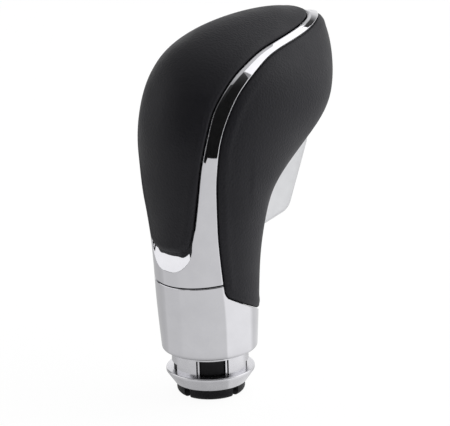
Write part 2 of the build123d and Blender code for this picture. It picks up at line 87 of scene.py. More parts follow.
# Leather: rolled edges with a low shoulder beside them, and swells; bells as (middle, spread)
LEATHER_ROLL = 0.9
SHOULDER = 0.2
SHOULDER_BELL = (2.4, 1.2)
PAD_SWELL = 0.6
GRIP_SWELL = 0.6
GRIP_SWELL_HEIGHT = (74.0, 7.0)
GRIP_SWELL_SIDE = (15.0, 6.0)
SWELL_EDGE = 2.0

# Foot of the rear pad: its wider roll and the wall that slopes down into the scoop, deepest at the corners
END_ROLL = 1.0
END_WALL = 0.9
END_DROP = 1.6
END_CORNER_DROP = 1.8
END_CORNER_AT = 3.0
END_CORNER_SPAN = 5.0

# Fades as (start, span): nothing above the start, all of it one span below; over x for the rear side
REAR_FADE = (-10.0, 3.0)
PAD_SWELL_FADE = (80.0, 14.0)
END_WALL_FADE = (57.0, 4.0)
END_DROP_FADE = (62.0, 6.0)
SCOOP_REAR_FADE = (-8.0, 4.0)
SCOOP_FADE = (60.0, 4.0)

# How far the spines of the skins stop short of the ends of their edges, in stations
PAD_TOP_SHORT = 0.3
PAD_FOOT_SHORT = 0.42
GRIP_TOP_SHORT = 0.6
GRIP_FOOT_SHORT = 0.35

# Chrome frame: its rows cross the nose in a straight line past a station
CHROME_INSET = 0.1
CHROME_ROLL = 0.35
CHROME_BEVEL = 0.3
CHROME_BEVEL_WIDTH = 1.1
CHROME_NOSE_WALL = 1.3
CHROME_WALL_GAIN = 2.6
NOSE_FROM = 7.2
NOSE_SPAN = 0.9

# Scoop below the rear pad: a thumb-shaped hollow
SCOOP_REACH = 9.0
SCOOP_HALF_WIDTH = 9.0
SCOOP_FLARE = 0.15
SCOOP_DEPTH = 3.0
SCOOP_POWER = 5.0
SCOOP_HEIGHT = 53.2
SCOOP_SOFTNESS = 0.05
SCOOP_MOST_SIDE = 1.2
SCOOP_MOST_RISE = 1.4

# Sleeve
SLEEVE_WALL = 2.3
SLEEVE_LIP = 2.0
SLEEVE_TOP_ROUND = 0.25
SLEEVE_FOOT_ROUND = 1.0
LIP_RADIUS = 12.6

# Collar: a flange and a neck with two windows and two low slots; the angles of their middles in degrees
COLLAR_BORE = 11.2
NECK_RADIUS = 12.5
NECK_ROUND = 0.12
COLLAR_LOW = 3.6
COLLAR_HIGH = 21.0
FOOT_RADIUS = 11.7
FOOT_ROUND = 0.2
RIM_RADIUS = 14.4
RIM_ROUND = 0.35
RIM_LOW = 7.5
RIM_HIGH = 8.5
WINDOW_LOW = RIM_HIGH
WINDOW_HIGH = 13.7
WINDOW_WIDTH = 10.4
WINDOW_ANGLES = (48, 228)
SLOT_HIGH = 10.9
SIDE_SLOT_WIDTH = 11.4
SIDE_SLOT_ANGLES = (138, 318)
WALL_SINK = 0.1
WALL_RISE = 0.15
POST_RADIUS = 12.1
POST_GAP = 0.35
POST_WIDTH = 0.55

# Opening for the button
OPENING_LOW = 52.4
OPENING_HIGH = 80.0
OPENING_HALF_WIDTH = 8.9

# Release button: side view (x, z) and the radius of each corner
BUTTON_SIDE = [(12, 52.8), (19, 52.8), (31, 55.4), (42, 79.6), (12, 79.6)]
BUTTON_ROUNDS = [0, 2.2, 6.0, 2.2, 0]
BUTTON_HALF_WIDTH = 8.5
BUTTON_EDGE = 2.0
BUTTON_CROWN = 0.25

# Lever socket, from its slotted foot to the seat of the spring
SOCKET_RADIUS = 11.1
SOCKET_FOOT_ROUND = 1.5
SOCKET_BORE_ROUND = 0.4
LEVER_RADIUS = 7.0
SLOT_WIDTH = 2.4
SLOT_HEIGHT = 7.5
TAB_ROOT = 9.0
TAB_RADIUS = 11.5
TAB_MARGIN = 1.4
TAB_GAP = 0.4
CATCH_RADIUS = 11.9
CATCH_GAP = 0.25
SOCKET_STEPS = [
    (11.1, 43), (12.2, 43), (12.2, 45.5), (11.1, 45.5), (11.1, 50), (5, 50), (5, 45), (3.06, 45), (3.06, 41),
    (5, 41), (5, 33), (7, 33),
]

# Return spring
SPRING_LOW = 45.45
SPRING_HIGH = 61.05
SPRING_RADIUS = 4.2
SPRING_WIRE = 0.4
SPRING_TURNS = 6

# Rows and columns of the grids, and marks along the edges, from which distances are taken
DENSE = 900
FINE = 4000
PAD_ROWS = 360
PAD_MARKS = 1500
PAD_CROWDING = 2.2
GRIP_ROWS = 440
GRIP_MARKS = 1800
GRIP_CROWDING = 2.0
GRIP_UNDER_ROWS = 90
GRIP_OVER_ROWS = 150
OPENING_POINTS = (60, 160)
SKIN_COLUMNS = 52
SKIN_BACK_COLUMNS = 9
FRAME_LONG_ROWS = 300
FRAME_SHORT_ROWS = 110
FRAME_COLUMNS = 44
FRAME_BACK_COLUMNS = 7
FRAME_MARKS = 1600
SEAM_POINTS = 400
SEAM_MARKS = 500
SLEEVE_ROWS = 44
SLEEVE_COLUMNS = 260
SLEEVE_BACK_ROWS = [43, 37, 31, 25, 19, 13, 7, 0]
COLLAR_COLUMNS = 193
SOCKET_COLUMNS = 161
BUTTON_EDGE_STEPS = 9
BUTTON_CAP_STEPS = 8
SPRING_STEPS = 32
WIRE_STEPS = 13
BATCH = 2000

# Ladders of stations on which a crossing is sought, as (last station, steps)
SEAM_LADDER = (4, 3000)
SLEEVE_LADDER = (3, 2600)

# Angle in degrees above which an edge is sharp
SOFT_SHARP = 60
HARD_SHARP = 40


def spline(values):
    """The natural cubic spline through values at whole stations: its bends solve bend[k-1] + 4 bend[k] +
    bend[k+1] = 6 (value[k-1] - 2 value[k] + value[k+1]), with no bend at the two ends."""
    values = np.asarray(values, float)
    count = len(values)
    system = np.eye(count)
    pull = np.zeros(count)
    inner = np.arange(1, count - 1)
    system[inner, inner] = 4
    system[inner, inner - 1] = 1
    system[inner, inner + 1] = 1
    pull[1:-1] = 6 * (values[:-2] - 2 * values[1:-1] + values[2:])
    bends = np.linalg.solve(system, pull)

    def at(station):
        k = np.clip(np.floor(station).astype(int), 0, count - 2)
        b = station - k
        a = 1 - b
        bend = (a**3 - a) * bends[k] + (b**3 - b) * bends[k + 1]
        return a * values[k] + b * values[k + 1] + bend / 6

    return at


rear_x, rear_z = spline(REAR_LINE[:, 0]), spline(REAR_LINE[:, 1])
front_x, front_z = spline(FRONT_LINE[:, 0]), spline(FRONT_LINE[:, 1])
width_at = spline(HALF_WIDTHS)


def ellipse_at(station):
    """Centre (x, z), direction along the chord, half chord and half width of the ellipse at a station. Past
    the last station the ellipse shrinks in proportion while its centre rises to the top of a paraboloid
    nose."""
    base = np.minimum(station, LAST)
    past = np.clip(station - LAST, 0, 1)
    rear = np.stack([rear_x(base), rear_z(base)], -1)
    front = np.stack([front_x(base), front_z(base)], -1)
    half = (front - rear) / 2
    length = np.linalg.norm(half, axis=-1)
    along = half / length[..., None]
    out = np.stack([-along[..., 1], along[..., 0]], -1)
    rise = NOSE_HEIGHT * (1 - (1 - past) ** 2)
    centre = (rear + front) / 2 + out * rise[..., None]
    return centre, along, length * (1 - past), width_at(base) * (1 - past)


def knob(station, turn):
    """Point of the outer form: the ellipse's centre, minus cos(turn) half chords along the chord, plus
    sin(turn) half widths along Y, so that turn 0 is the rear line and turn pi the front line."""
    centre, along, chord, width = ellipse_at(station)
    side = centre - along * (chord * np.cos(turn))[..., None]
    return np.stack([side[..., 0], width * np.sin(turn), side[..., 1]], -1)


def unit(vectors):
    """Vectors brought to a length of 1."""
    return vectors / np.linalg.norm(vectors, axis=-1, keepdims=True)


def knob_normal(station, turn):
    """Outward normal: the cross product of the surface's small steps in station and in turn."""
    step = 1e-3
    station = np.clip(station, 2 * step, LAST + 1 - 4 * step)
    up = knob(station + step, turn) - knob(station - step, turn)
    round_ = knob(station, turn + step) - knob(station, turn - step)
    return unit(np.cross(up, round_))


def path_points(points, count):
    """A natural spline through the points, spaced by the lengths between them, read at many places."""
    steps = np.linalg.norm(np.diff(points, axis=0), axis=1)
    lengths = np.concatenate([[0], np.cumsum(steps)])
    stations = np.interp(np.linspace(0, lengths[-1], count), lengths, np.arange(len(points)))
    return np.stack([spline(points[:, 0])(stations), spline(points[:, 1])(stations)], -1)


def moved(path, distance):
    """A side-view path moved to the left of its travel by a distance."""
    travel = unit(np.gradient(path, axis=0))
    return path + distance * np.stack([-travel[:, 1], travel[:, 0]], -1)


def on_form(path, to_outline=(0, -1)):
    """Station and turn of each side-view point: the station whose chord passes through it, and the turn from
    how far along that chord it lies. Points beside the form are left out, and the named ends are carried on
    to its outline."""
    stations = np.linspace(0, NOSE_END, FINE)
    centre, along, _, _ = ellipse_at(stations)
    apart = path[:, None, :] - centre[None]
    across = along[None, :, 0] * apart[..., 1] - along[None, :, 1] * apart[..., 0]
    crossing = (across[:, :-1] > 0) & (across[:, 1:] <= 0)
    found = crossing.any(axis=1)
    k = np.argmax(crossing, axis=1)
    rows = np.arange(len(path))
    a, b = across[rows, k], across[rows, k + 1]
    part = np.where(found, a / np.where(a == b, 1, a - b), 0)
    station = stations[k] + part * (stations[1] - stations[0])
    centre, along, chord, _ = ellipse_at(station)
    share = -np.sum((path - centre) * along, axis=1) / np.maximum(chord, 1e-9)
    inside = found & (np.abs(share) <= 1)
    first, last = np.flatnonzero(inside)[[0, -1]]
    station, share = station[first:last + 1], share[first:last + 1]
    turn = np.arccos(np.clip(share, -1, 1))
    for end in to_outline:
        inner = 1 if end == 0 else -2
        goal = 0.0 if turn[end] < math.pi / 2 else math.pi
        slope = (station[end] - station[inner]) / (share[end] - share[inner])
        outline = station[end] + slope * (math.cos(goal) - share[end])
        place = 0 if end == 0 else len(station)
        station = np.insert(station, place, outline)
        share = np.insert(share, place, math.cos(goal))
        turn = np.insert(turn, place, goal)
    return np.stack([np.clip(station, 0, NOSE_END), turn], -1)


def spaced(edge, count):
    """An edge (station, turn) read at equal lengths along the surface."""
    points = knob(edge[:, 0], edge[:, 1])
    steps = np.linalg.norm(np.diff(points, axis=0), axis=1)
    lengths = np.concatenate([[0], np.cumsum(steps)])
    places = np.linspace(0, lengths[-1], count)
    return np.stack([np.interp(places, lengths, edge[:, k]) for k in (0, 1)], -1)


def between(start, end, share):
    """Station and turn on the way from a start line to an end line, in proportion to a share."""
    way = start[:, None] * (1 - share[..., None]) + end[:, None] * share[..., None]
    return way[..., 0], way[..., 1]


def folded(points):
    """Points with the right side of the knob mirrored onto the left side."""
    return points * (1, 0, 1) + np.abs(points) * (0, 1, 0)


def distance_to(points, *edges):
    """Distance from every point to the nearest point of the edges, both sides of the knob counted."""
    marks = folded(np.concatenate([knob(edge[:, 0], edge[:, 1]) for edge in edges]))
    flat = folded(points.reshape(-1, 3))
    nearest = [np.sqrt(((part[:, None] - marks[None]) ** 2).sum(-1)).min(1)
               for part in np.array_split(flat, max(1, len(flat) // BATCH))]
    return np.concatenate(nearest).reshape(points.shape[:-1])


def roll(distance, radius):
    """Depth of a rounded edge: a quarter circle from the full radius at the edge to nothing one radius
    away."""
    short = np.clip(radius - distance, 0, radius)
    return radius - np.sqrt(radius**2 - short**2)


def smooth_step(value):
    """0 below 0, 1 above 1 and 3v^2 - 2v^3 between."""
    value = np.clip(value, 0, 1)
    return value * value * (3 - 2 * value)


def fade(value, start, span):
    """0 above a start and 1 one span below it, with a smooth step between."""
    return smooth_step((start - value) / span)


def bell(value, middle, spread):
    """A bell curve: 1 in the middle and exp(-1) one spread away."""
    return np.exp(-((value - middle) / spread) ** 2)


def toward_edge(count, power):
    """Places from 0 to 1, close together near 1."""
    return 1 - (1 - np.linspace(0, 1, count)) ** power


def eased(count):
    """Places from 0 to 1, close together near both ends."""
    return 0.5 - 0.5 * np.cos(np.linspace(0, math.pi, count))


def grid_faces(rows, columns, first):
    """Quads of a grid of points stored row by row from a first index on."""
    index = np.arange(rows * columns).reshape(rows, columns) + first
    quads = np.stack([index[:-1, :-1], index[:-1, 1:], index[1:, 1:], index[1:, :-1]], -1)
    return quads.reshape(-1, 4)


def make_piece(name, grids, material, body, replaced, sharp):
    """One mesh from several grids of points in millimetres: doubles merged, normals turned outwards, smooth
    with sharp edges above an angle in degrees."""
    points, faces, count = [], [], 0
    for grid in grids:
        rows, columns = grid.shape[:2]
        points.append(grid.reshape(-1, 3))
        faces.append(grid_faces(rows, columns, count))
        count += rows * columns
    points = np.concatenate(points) * MM
    faces = np.concatenate(faces)
    mesh = bpy.data.meshes.new(name)
    mesh.from_pydata(points.tolist(), [], faces.tolist())
    work = bmesh.new()
    work.from_mesh(mesh)
    bmesh.ops.remove_doubles(work, verts=work.verts, dist=2e-6)
    bmesh.ops.dissolve_degenerate(work, edges=work.edges, dist=1e-7)
    bmesh.ops.recalc_face_normals(work, faces=work.faces)
    work.to_mesh(mesh)
    work.free()
    mesh.shade_smooth()
    mesh.set_sharp_from_angle(angle=math.radians(sharp))
    mesh.materials.append(material)
    piece = bpy.data.objects.new(name, mesh)
    scene.collection.objects.link(piece)
    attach(piece, body)
    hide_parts(*replaced)
    return piece


def both_sides(*grids):
    """Grids and their mirror images across the XZ plane."""
    return [side for grid in grids for side in (grid, (grid * (1, -1, 1))[:, ::-1])]


# Materials: the range of a noise that is used, and the nodes
NOISE_LOW = 0.3
NOISE_HIGH = 0.7


def fill(tree, node, inputs):
    """Links each named or numbered input of a node to a socket, or sets it to a value."""
    for key, value in inputs.items():
        if isinstance(value, bpy.types.NodeSocket):
            tree.links.new(value, node.inputs[key])
        else:
            node.inputs[key].default_value = value


def add_node(tree, kind, inputs, operation=None):
    """A node of a kind, with its operation if it has one and its inputs filled."""
    node = tree.nodes.new("ShaderNode" + kind)
    if operation:
        node.operation = operation
    fill(tree, node, inputs)
    return node


def new_material(name):
    """A material with its node tree, its principled shader and the Object coordinates."""
    material = bpy.data.materials.new(name)
    material.use_nodes = True
    tree = material.node_tree
    place = tree.nodes.new("ShaderNodeTexCoord").outputs["Object"]
    return material, tree, tree.nodes["Principled BSDF"], place


def parts_of(tree, vector):
    """The X, Y and Z of a vector."""
    return add_node(tree, "SeparateXYZ", {"Vector": vector}).outputs


def arithmetic(tree, operation, *values):
    """One Math node; each input is a socket or a number."""
    return add_node(tree, "Math", dict(enumerate(values)), operation).outputs[0]


def noise(tree, place, scale, detail, roughness=0.5):
    """Noise on Object coordinates; scale is per metre."""
    inputs = {"Vector": place, "Scale": scale, "Detail": detail, "Roughness": roughness}
    return add_node(tree, "TexNoise", inputs).outputs["Fac"]


def spread(tree, value, low, high):
    """A noise mapped to the range from low to high."""
    inputs = {"Value": value, "From Min": NOISE_LOW, "From Max": NOISE_HIGH, "To Min": low, "To Max": high}
    return add_node(tree, "MapRange", inputs).outputs["Result"]


def ramp(tree, value, stops):
    """A colour that follows a value through stops of (place, colour)."""
    node = add_node(tree, "ValToRGB", {"Fac": value})
    elements = node.color_ramp.elements
    elements[0].position, elements[1].position = stops[0][0], stops[-1][0]
    for place, _ in stops[1:-1]:
        elements.new(place)
    for element, (_, colour) in zip(elements, stops):
        element.color = (*colour, 1)
    return node.outputs["Color"]


def grey_ramp(tree, value, stops):
    """A grey that follows a value through stops of (place, level)."""
    return ramp(tree, value, [(place, (level, level, level)) for place, level in stops])


def tint(tree, value, low, high):
    """A noise mapped to the colours between two colours."""
    return ramp(tree, value, [(NOISE_LOW, low), (NOISE_HIGH, high)])


def bump(tree, height, distance, strength, under=None):
    """A bump of a height in metres, over another one if given."""
    inputs = {"Height": height, "Distance": distance, "Strength": strength}
    if under:
        inputs["Normal"] = under
    return add_node(tree, "Bump", inputs).outputs["Normal"]


def leather_material():
    """Black leather: fine pebbled grain from cells with soft valleys, a little pull and uneven sheen."""
    material, tree, shader, place = new_material("black_leather")
    cells = tree.nodes.new("ShaderNodeTexVoronoi")
    cells.feature = "SMOOTH_F1"
    fill(tree, cells, {"Vector": place, "Scale": 1500, "Smoothness": 0.6})
    pull = noise(tree, place, scale=90, detail=3)
    fine = noise(tree, place, scale=4200, detail=2)
    grain = bump(tree, cells.outputs["Distance"], distance=0.00016, strength=0.62)
    fill(tree, shader, {
        "Base Color": tint(tree, pull, (0.0185, 0.0182, 0.0234), (0.0245, 0.0242, 0.0294)),
        "Roughness": spread(tree, pull, 0.50, 0.62),
        "Specular IOR Level": 0.24,
        "Normal": bump(tree, fine, distance=0.00003, strength=0.4, under=grain),
    })
    return material


def chrome_material(name, dull):
    """Polished chrome: a mirror with faint polishing haze that varies over the surface."""
    material, tree, shader, place = new_material(name)
    haze = noise(tree, place, scale=140, detail=4, roughness=0.6)
    wave = noise(tree, place, scale=60, detail=1)
    fill(tree, shader, {
        "Base Color": tint(tree, haze, (0.545, 0.543, 0.567), (0.58, 0.578, 0.602)),
        "Metallic": 1.0,
        "Roughness": spread(tree, haze, dull, dull + 0.035),
        "Normal": bump(tree, wave, distance=0.00004, strength=0.12),
    })
    return material


def plain_material(name, low, high, rough, metallic, grain, depth, gloss=0.5):
    """Satin metal, moulded plastic, lacquer or steel: slightly uneven colour and gloss, with a fine grain."""
    material, tree, shader, place = new_material(name)
    patch = noise(tree, place, scale=220, detail=3)
    speck = noise(tree, place, scale=grain, detail=2)
    fill(tree, shader, {
        "Base Color": tint(tree, patch, low, high),
        "Metallic": metallic,
        "Roughness": spread(tree, speck, rough, rough + 0.1),
        "Specular IOR Level": gloss,
        "Normal": bump(tree, speck, distance=depth, strength=0.3),
    })
    return material


leather = leather_material()
chrome = chrome_material("bright_chrome", dull=0.02)
sleeve_chrome = chrome_material("satin_chrome", dull=0.035)
collar_satin = plain_material("collar_satin", (0.575, 0.573, 0.598), (0.635, 0.633, 0.658),
                              rough=0.2, metallic=1.0, grain=3400, depth=0.000002)
lacquer = plain_material("silver_lacquer", (0.64, 0.645, 0.66), (0.68, 0.685, 0.7),
                         rough=0.3, metallic=0.7, grain=5200, depth=0.000005)
black_plastic = plain_material("black_plastic", (0.0105, 0.0102, 0.0128), (0.0145, 0.0142, 0.017),
                               rough=0.45, metallic=0.0, grain=3800, depth=0.00003, gloss=0.2)
grey_plastic = plain_material("grey_plastic", (0.22, 0.22, 0.23), (0.3, 0.3, 0.31),
                              rough=0.4, metallic=0.0, grain=3000, depth=0.00003)
steel = plain_material("steel", (0.45, 0.45, 0.46), (0.6, 0.6, 0.61),
                       rough=0.22, metallic=1.0, grain=2600, depth=0.00001)

# Edges of the leather in side view, and on the surface as (station, turn)
pad_path = path_points(PAD_EDGE, DENSE)
grip_path = path_points(GRIP_EDGE, DENSE)
chin_path = path_points(CHIN_EDGE, DENSE // 2)
pad_on = on_form(moved(pad_path, -TRIM_GAP / 2))
grip_on = on_form(moved(np.concatenate([grip_path, chin_path[1:]]), TRIM_GAP / 2))


def skin_points(start, edge, places):
    """Points and normals of the form between a start line and an edge, how much of the pad's foot each point
    has, and the radius of the rolled edge there."""
    way = between(start, edge, places[None])
    points = knob(*way)
    foot = fade(points[..., 2], *END_WALL_FADE) * fade(points[..., 0], *REAR_FADE)
    return points, knob_normal(*way), foot, LEATHER_ROLL + (END_ROLL - LEATHER_ROLL) * foot


def skin_face(start, edge, power, edges):
    """Outer grid of a leather skin: it rises in a low shoulder and rolls down at the edges in a quarter
    circle. It swells at the lower part of the pad and, as a bell over height and width, beside the button."""
    points, normal, _, radius = skin_points(start, edge, toward_edge(SKIN_COLUMNS, power))
    x, y, z = points[..., 0], np.abs(points[..., 1]), points[..., 2]
    away = distance_to(points, *edges)
    rise = SHOULDER * bell(away, *SHOULDER_BELL) * smooth_step(away / radius)
    swell = PAD_SWELL * fade(z, *PAD_SWELL_FADE) * fade(x, *REAR_FADE)
    swell += GRIP_SWELL * bell(z, *GRIP_SWELL_HEIGHT) * bell(y, *GRIP_SWELL_SIDE) * (x > 0)
    rise += swell * smooth_step(away / SWELL_EDGE)
    return points - normal * (roll(away, radius) - rise)[..., None]


def skin_back(start, edge, power):
    """Inner grid of a leather skin, one roll below the form. At the pad's foot it also drops, most at the
    corners, so that the wall between the two grids slopes down into the scoop."""
    points, normal, foot, radius = skin_points(start, edge, toward_edge(SKIN_BACK_COLUMNS, power))
    x, y, z = points[..., 0], np.abs(points[..., 1]), points[..., 2]
    back = points - normal * (radius + END_WALL * foot)[..., None]
    drop = END_DROP + END_CORNER_DROP * smooth_step((y - END_CORNER_AT) / END_CORNER_SPAN)
    back[..., 2] -= drop * fade(z, *END_DROP_FADE) * fade(x, *REAR_FADE)
    return back


def skin(start, edge, power, edges):
    """Outer and inner grids of a leather skin. Rows run from a start line to an edge, both (station, turn),
    with the columns closer together near the edge, where the two grids meet."""
    outer = skin_face(start, edge, power, edges)
    inner = skin_back(start, edge, power)
    outer[:, -1] = inner[:, -1]
    return outer, inner


def rear_pad():
    """The rear pad. Rows run from the rear line to the pad's edge: station and turn move in proportion from a
    spine point to an edge point."""
    edge = spaced(pad_on, PAD_ROWS)
    spine = np.linspace(edge[0, 0] - PAD_TOP_SHORT, edge[-1, 0] + PAD_FOOT_SHORT, PAD_ROWS)
    return skin(np.stack([spine, 0 * spine], -1), edge, PAD_CROWDING, [spaced(pad_on, PAD_MARKS)])


def opening_outline():
    """Half of the button's opening on the surface, from its lowest to its highest middle point: along the
    lower edge, up the side at a constant half width, and back along the upper edge."""
    across, upward = OPENING_POINTS
    stations = np.linspace(0, LAST, FINE)
    heights = front_z(stations)
    low = stations[np.argmax(heights >= OPENING_LOW)]
    high = stations[np.argmax(heights >= OPENING_HIGH)]
    share = np.concatenate([np.zeros(across), np.linspace(0, 1, upward), np.ones(across)])
    wide = np.concatenate([np.linspace(0, 1, across), np.ones(upward), np.linspace(1, 0, across)])
    station = low + (high - low) * share
    width = ellipse_at(station)[3]
    turn = math.pi - np.arcsin(np.clip(OPENING_HALF_WIDTH * wide / width, 0, 1))
    return np.stack([station, turn], -1)


def front_stretch(first, last, count):
    """A stretch of the front line, as (station, turn)."""
    return np.stack([np.linspace(first, last, count), np.full(count, math.pi)], -1)


def front_grip():
    """The front grip. Rows run from the front line, or from the outline of the button's opening where it lies
    on that line, to the grip's edge: station and turn move in proportion. The skin rolls down at both
    edges."""
    edge = spaced(grip_on, GRIP_ROWS)[::-1]
    outline = opening_outline()
    under = front_stretch(edge[0, 0] + GRIP_FOOT_SHORT, outline[0, 0], GRIP_UNDER_ROWS)
    over = front_stretch(outline[-1, 0], edge[-1, 0] - GRIP_TOP_SHORT, GRIP_OVER_ROWS)
    start = np.concatenate([under, outline, over])
    places = np.linspace(0, len(start) - 1, GRIP_ROWS)
    start = np.stack([np.interp(places, np.arange(len(start)), start[:, k]) for k in (0, 1)], -1)
    outer, inner = skin(start, edge, GRIP_CROWDING, [spaced(grip_on, GRIP_MARKS), outline])
    hole = np.flatnonzero(start[:, 1] < math.pi - 1e-6)
    outer[hole, 0] = inner[hole, 0]
    return outer, inner


def seam_station(turn, level):
    """The station at which the form passes the seam's sloping plane, moved to a level at x = 0, for each
    turn: the crossing on a fine ladder of stations."""
    stations = np.linspace(0, *SEAM_LADDER)
    levels = knob(*np.meshgrid(stations, turn)) @ SEAM_NORMAL
    k = np.clip(np.argmax(levels > level, axis=1), 1, None)
    rows = np.arange(len(turn))
    low, high = levels[rows, k - 1], levels[rows, k]
    return stations[k - 1] + (level - low) / (high - low) * (stations[1] - stations[0])


def frame_lines():
    """Edges of the chrome frame as (station, turn): along the pad, along the grip, and along the seam."""
    level = SEAM_HEIGHT + SEAM_GAP / 2
    pad_line = on_form(moved(pad_path, TRIM_GAP / 2))
    grip_line = on_form(moved(grip_path, -TRIM_GAP / 2), to_outline=(0,))
    grip_line = grip_line[knob(grip_line[:, 0], grip_line[:, 1]) @ SEAM_NORMAL > level]
    seam_turn = np.linspace(grip_line[-1, 1], 0, SEAM_POINTS)
    return pad_line, grip_line, np.stack([seam_station(seam_turn, level), seam_turn], -1)


def frame_way(inner, outer, places):
    """Station and turn between the frame's two edges: in proportion, and near the nose in a straight line on
    a flat map of the form with the nose in its middle."""
    share = places[None]
    station, turn = between(inner, outer, share)
    flat_in, flat_out = [(LAST + 1 - line[:, :1]) * np.exp(1j * line[:, 1:]) for line in (inner, outer)]
    flat = flat_in * (1 - share) + flat_out * share
    nose = smooth_step((inner[:, :1] - NOSE_FROM) / NOSE_SPAN)
    station = station * (1 - nose) + (LAST + 1 - np.abs(flat)) * nose
    return station, turn * (1 - nose) + np.abs(np.angle(flat)) * nose


def scoop_depth(face):
    """How far the scoop sinks forward: its depth, times one less the drop below the pad over its reach, times
    one less the fifth power of the way to its side, which follows an ellipse and flares a little above. A
    small hyperbola rounds its rim."""
    drop = (SCOOP_HEIGHT - face[..., 2]) / SCOOP_REACH
    side = SCOOP_HALF_WIDTH * np.sqrt(np.clip(1 - np.maximum(drop, 0) ** 2, 1e-4, 1))
    side += SCOOP_FLARE * SCOOP_REACH * np.maximum(-drop, 0)
    sideways = np.minimum(np.abs(face[..., 1]) / side, SCOOP_MOST_SIDE)
    gain = SCOOP_DEPTH * np.clip(1 - drop, 0, SCOOP_MOST_RISE) * (1 - sideways**SCOOP_POWER)
    return 0.5 * (gain + np.sqrt(gain**2 + SCOOP_SOFTNESS**2))


def chrome_frame():
    """The frame. Rows run from the pad's edge to the grip's edge and, below it, to the seam. The face sinks
    in a quarter circle at its edges and has a bevel along the pad, and the scoop lies below the pad. The back
    follows the form at a wall's depth, which grows away from the nose."""
    pad_line, grip_line, seam_line = frame_lines()
    corner = np.argmax(pad_line[:, 0] < pad_line[-1, 0] + PAD_FOOT_SHORT)
    rows = FRAME_LONG_ROWS, FRAME_SHORT_ROWS
    stretches = [(pad_line[:corner + 1], pad_line[corner:]), (grip_line, seam_line)]
    inner, outer = [np.concatenate([spaced(upper, rows[0]), spaced(lower, rows[1])[1:]])
                    for upper, lower in stretches]

    way = frame_way(inner, outer, eased(FRAME_COLUMNS))
    points = knob(*way)
    to_pad = distance_to(points, spaced(pad_line, FRAME_MARKS))
    to_grip = distance_to(points, spaced(grip_line, FRAME_MARKS), spaced(seam_line, SEAM_MARKS))
    hollow = fade(points[..., 2], *SCOOP_FADE) * fade(points[..., 0], *SCOOP_REAR_FADE)
    bevel = CHROME_BEVEL * np.clip(1 - to_pad / CHROME_BEVEL_WIDTH, 0, 1) * (1 - hollow)
    edge = roll(np.minimum(to_pad + CHROME_ROLL * hollow, to_grip), CHROME_ROLL)
    face = points - knob_normal(*way) * (CHROME_INSET + edge + bevel)[..., None]
    face[..., 0] += scoop_depth(face) * hollow

    way = frame_way(inner, outer, eased(FRAME_BACK_COLUMNS))
    wall = CHROME_NOSE_WALL + CHROME_WALL_GAIN * smooth_step(LAST - way[0])
    back = knob(*way) - knob_normal(*way) * wall[..., None]
    sides = [np.stack([face[:, column], back[:, column]], 1) for column in (0, -1)]
    return [face, back] + sides


def lathe(profile, turns):
    """A profile of (radius, height) points carried round the lever's axis."""
    turns = np.asarray(turns)[None]
    radius, level = profile[:, :1], profile[:, 1:]
    return np.stack([radius * np.cos(turns), radius * np.sin(turns), level + 0 * turns], -1)


def upright(inner, outer, low, high):
    """Section of a wall between two radii and two heights: its four corners as (radius, height)."""
    return np.array([(inner, low), (outer, low), (outer, high), (inner, high)])


def rounded(corners, radii, steps=6):
    """A closed outline whose corners are arcs: each arc touches both sides and starts radius / tan(half the
    corner's angle) from the corner."""
    corners = np.asarray(corners, float)
    outline = []
    for k, radius in enumerate(radii):
        corner = corners[k]
        if not radius:
            outline.append(corner[None])
            continue
        before, after = unit(corners[k - 1] - corner), unit(corners[(k + 1) % len(corners)] - corner)
        half = math.acos(np.clip(before @ after, -1, 1)) / 2
        centre = corner + unit(before + after) * radius / math.sin(half)
        start = corner + before * radius / math.tan(half) - centre
        end = corner + after * radius / math.tan(half) - centre
        share = np.linspace(0, 1, steps)[:, None]
        arc = start * (1 - share) + end * share
        outline.append(centre + unit(arc) * radius)
    return np.concatenate(outline)


def closed(outline):
    """An outline with its first point again at its end."""
    return np.concatenate([outline, outline[:1]])


def block(profile, start, end, count):
    """A profile carried round the axis between two angles, with both ends closed by a fan of quads."""
    ring = lathe(closed(profile), np.linspace(start, end, count))
    ends = []
    for face in (ring[:, 0], ring[:, -1]):
        half = (len(face) - 1) // 2 + 1
        there, back = face[:half], face[:-1][::-1][:half]
        ends.append(np.stack([there, back[np.minimum(np.arange(half), len(back) - 1)]], 1))
    return [ring] + ends


def lower_sleeve():
    """The sleeve: the form's surface from its foot up to the seam and the chin, rounded at both ends, with a
    lip round the neck at the foot and an inner wall."""
    turn = np.linspace(0, math.pi, SLEEVE_COLUMNS)
    stations = np.linspace(0, *SLEEVE_LADDER)
    ladder = knob(*np.meshgrid(stations, turn))
    x, z = ladder[..., 0], ladder[..., 2]
    chin = moved(chin_path, -TRIM_GAP / 2)
    under_chin = np.interp(x, np.maximum.accumulate(chin[:, 0]), chin[:, 1])
    under_seam = SEAM_HEIGHT + SEAM_SLOPE * x - SEAM_GAP / 2
    limit = np.minimum(np.where(x < chin[0, 0], np.inf, under_chin), under_seam)
    top = stations[np.clip(np.argmax(z > limit, axis=1) - 1, 0, None)]
    share = eased(SLEEVE_ROWS)[:, None]
    station, around = top[None] * share, turn[None] + 0 * share
    points, normal = knob(station, around), knob_normal(station, around)
    top_round = roll(distance_to(points, np.stack([top, turn], -1)), SLEEVE_TOP_ROUND)
    foot_round = roll(points[..., 2] - FOOT_HEIGHT, SLEEVE_FOOT_ROUND)
    outer = points - normal * (CHROME_INSET + top_round + foot_round)[..., None]
    inner = points - normal * (CHROME_INSET + SLEEVE_WALL)
    inner[..., 2] = np.maximum(inner[..., 2], FOOT_HEIGHT + SLEEVE_LIP)
    level = np.full_like(turn, FOOT_HEIGHT)
    low = np.stack([-LIP_RADIUS * np.cos(turn), LIP_RADIUS * np.sin(turn), level], -1)
    high = low + (0, 0, SLEEVE_LIP)
    return np.concatenate([outer, inner[SLEEVE_BACK_ROWS], high[None], low[None], outer[:1]])


